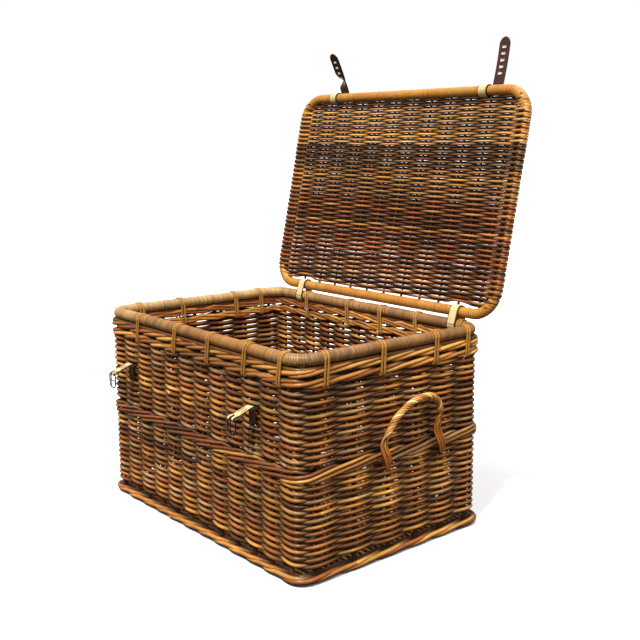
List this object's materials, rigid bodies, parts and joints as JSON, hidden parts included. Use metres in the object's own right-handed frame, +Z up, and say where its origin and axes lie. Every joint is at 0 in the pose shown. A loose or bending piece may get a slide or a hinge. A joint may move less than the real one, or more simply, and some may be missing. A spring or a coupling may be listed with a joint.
{
  "type": "wicker storage trunk",
  "caption": "Rectangular woven rattan storage trunk with a framed hinged lid, two leather closing straps with wire buckles, and a roped carrying handle on each end.",
  "frame": {"origin": "centre of the trunk's underside, on the surface it stands on", "axes": "+X along the trunk's length to the right seen from the front, +Y towards the hinged back, +Z up"},
  "size_m": [0.6655, 0.566, 0.8744],
  "materials": {
    "brown_weave": "lacquered brown rattan rods, mixed chocolate, honey and grey-tan",
    "border_rods": "lacquered honey-brown rods, satin",
    "dark_rods": "dark brown rods, satin",
    "tan_cane": "fine split cane binding, tan, low gloss",
    "golden_cane": "honey-gold cane, satin",
    "cream_leather": "cream flesh side, matt, dark edges",
    "dark_leather": "dark brown grain side, worn satin",
    "black_steel": "blackened steel wire, semi-gloss"
  },
  "bodies": {
    "trunk": {"base_weave": "brown_weave", "base_sticks": "dark_rods", "foot_border": "border_rods", "lower_weave": "brown_weave", "mid_wale": "border_rods", "upper_weave": "brown_weave", "top_border": "border_rods", "front_stakes": "dark_rods", "back_stakes": "dark_rods", "left_stakes": "dark_rods", "right_stakes": "dark_rods", "rim_pole": "dark_rods", "rim_binding": "tan_cane", "rim_tie_01": "tan_cane", "rim_tie_02": "tan_cane", "rim_tie_03": "tan_cane", "rim_tie_04": "tan_cane", "rim_tie_05": "tan_cane", "rim_tie_06": "tan_cane", "rim_tie_07": "tan_cane", "rim_tie_08": "tan_cane", "rim_tie_09": "tan_cane", "rim_tie_10": "tan_cane", "rim_tie_11": "tan_cane", "rim_tie_12": "tan_cane", "rim_tie_13": "tan_cane", "rim_tie_14": "tan_cane", "rim_tie_15": "tan_cane", "rim_tie_16": "tan_cane", "rim_tie_17": "tan_cane", "rim_tie_18": "tan_cane", "hinge_strap_left": "cream_leather", "hinge_strap_right": "cream_leather", "handle_left": "golden_cane", "handle_right": "golden_cane", "tab_anchor_left": "dark_leather", "tab_anchor_right": "dark_leather"},
    "lid": {"lid_frame_pole": "dark_rods", "lid_weave": "brown_weave", "lid_stakes": "dark_rods", "lid_front_binding": "golden_cane", "lid_back_binding": "golden_cane", "lid_left_edge": "brown_weave", "lid_right_edge": "brown_weave", "strap_band_left": "cream_leather", "strap_band_right": "cream_leather"},
    "closing_strap_left": {"closing_strap_left": "dark_leather"},
    "buckle_tab_left": {"buckle_tab_left": "cream_leather"},
    "buckle_frame_left": {"buckle_frame_left": "black_steel"},
    "buckle_prong_left": {"buckle_prong_left": "black_steel"},
    "closing_strap_right": {"closing_strap_right": "dark_leather"},
    "buckle_tab_right": {"buckle_tab_right": "cream_leather"},
    "buckle_frame_right": {"buckle_frame_right": "black_steel"},
    "buckle_prong_right": {"buckle_prong_right": "black_steel"}
  },
  "joints": [
    {"name": "lid_hinge", "type": "hinge", "parent": "trunk", "child": "lid", "pos_m": [0.014, 0.207, 0.3832], "axis": [1, 0, 0], "range_deg": [0, 102]},
    {"name": "closing_strap_left_fold", "type": "hinge", "parent": "lid", "child": "closing_strap_left", "pos_m": [-0.175, 0.29389, 0.79197], "axis": [1, 0, 0], "range_deg": [-95, 44]},
    {"name": "buckle_tab_left_fold", "type": "hinge", "parent": "trunk", "child": "buckle_tab_left", "pos_m": [-0.209, -0.2111, 0.273], "axis": [1, 0, 0], "range_deg": [-70, 35]},
    {"name": "buckle_frame_left_swing", "type": "hinge", "parent": "buckle_tab_left", "child": "buckle_frame_left", "pos_m": [-0.209, -0.2501, 0.25881], "axis": [1, 0, 0], "range_deg": [-60, 15]},
    {"name": "buckle_prong_left_swing", "type": "hinge", "parent": "buckle_frame_left", "child": "buckle_prong_left", "pos_m": [-0.209, -0.2501, 0.25881], "axis": [1, 0, 0], "range_deg": [-80, 0]},
    {"name": "closing_strap_right_fold", "type": "hinge", "parent": "lid", "child": "closing_strap_right", "pos_m": [0.25, 0.29389, 0.79197], "axis": [1, 0, 0], "range_deg": [-60, 79]},
    {"name": "buckle_tab_right_fold", "type": "hinge", "parent": "trunk", "child": "buckle_tab_right", "pos_m": [0.186, -0.2111, 0.273], "axis": [1, 0, 0], "range_deg": [-70, 35]},
    {"name": "buckle_frame_right_swing", "type": "hinge", "parent": "buckle_tab_right", "child": "buckle_frame_right", "pos_m": [0.186, -0.2501, 0.25881], "axis": [1, 0, 0], "range_deg": [-60, 15]},
    {"name": "buckle_prong_right_swing", "type": "hinge", "parent": "buckle_frame_right", "child": "buckle_prong_right", "pos_m": [0.186, -0.2501, 0.25881], "axis": [1, 0, 0], "range_deg": [-80, 0]}
  ]
}
